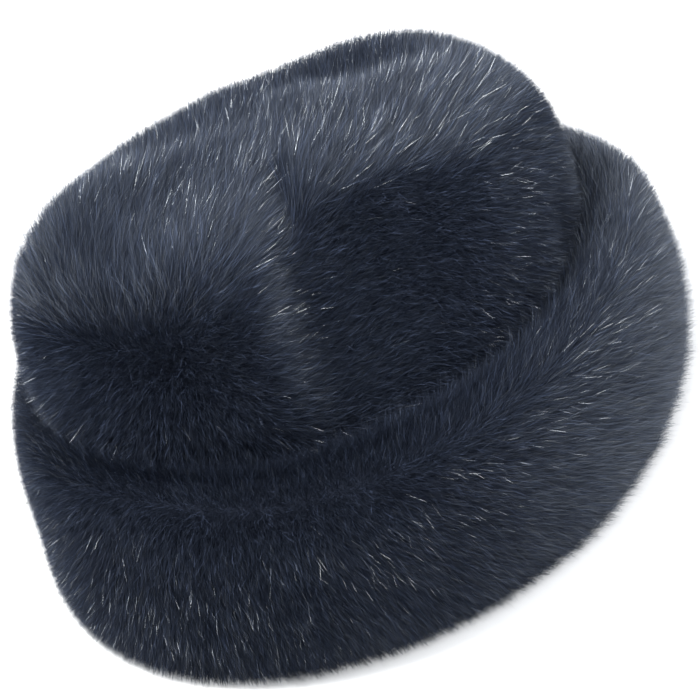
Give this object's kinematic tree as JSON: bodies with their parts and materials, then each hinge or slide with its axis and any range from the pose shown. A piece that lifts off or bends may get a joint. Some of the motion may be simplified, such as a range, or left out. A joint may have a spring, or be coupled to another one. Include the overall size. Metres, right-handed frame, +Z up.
{
  "type": "faux fur hat",
  "caption": "Deep-pile faux fur hat with a soft domed crown, pressed flat and dented at the front, inside a tall padded turned-up cuff; the head hollow is open and the hat rests on its rim.",
  "frame": {"origin": "middle of the hat's box in plan, on the surface that the rim rests on", "axes": "+Z up through the crown, -Y the front, +Y the back along the hat's longer axis, +X the wearer's left"},
  "size_m": [0.2534, 0.2742, 0.1502],
  "materials": {
    "faux_fur": "deep standing pile with a soft grey sheen"
  },
  "bodies": {
    "root": {"crown_side": "faux_fur", "crown_tip": "faux_fur", "cuff": "faux_fur"}
  },
  "joints": []
}
